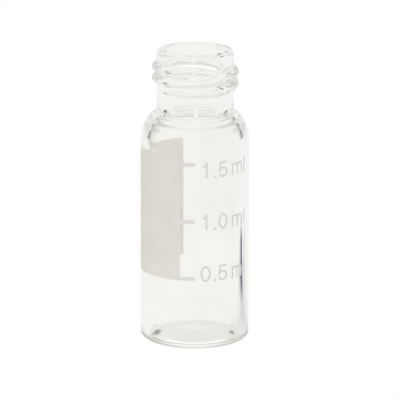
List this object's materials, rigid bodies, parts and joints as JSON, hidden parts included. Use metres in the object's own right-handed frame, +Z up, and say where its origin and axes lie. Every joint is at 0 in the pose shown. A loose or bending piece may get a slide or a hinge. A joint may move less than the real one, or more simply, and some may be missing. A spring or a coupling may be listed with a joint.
{
  "type": "glass sample vial",
  "caption": "Small clear glass vial with a flat base, rounded shoulder, screw thread neck and wide open mouth, with a fired enamel writing patch and volume scale.",
  "frame": {"origin": "centre of the base, on the plane that the vial stands on", "axes": "+Z up along the vial's axis to the mouth; -Y is the front with the volume scale; -X is the side that the writing patch wraps"},
  "size_m": [0.0116, 0.0116, 0.0318],
  "materials": {
    "clear_glass": "clear polished borosilicate glass",
    "patch_enamel": "matt fired enamel, warm white",
    "figure_enamel": "matt fired enamel, warm white"
  },
  "bodies": {
    "root": {"glass_vial": "clear_glass", "writing_patch": "patch_enamel", "scale_figures": "figure_enamel"}
  },
  "joints": []
}
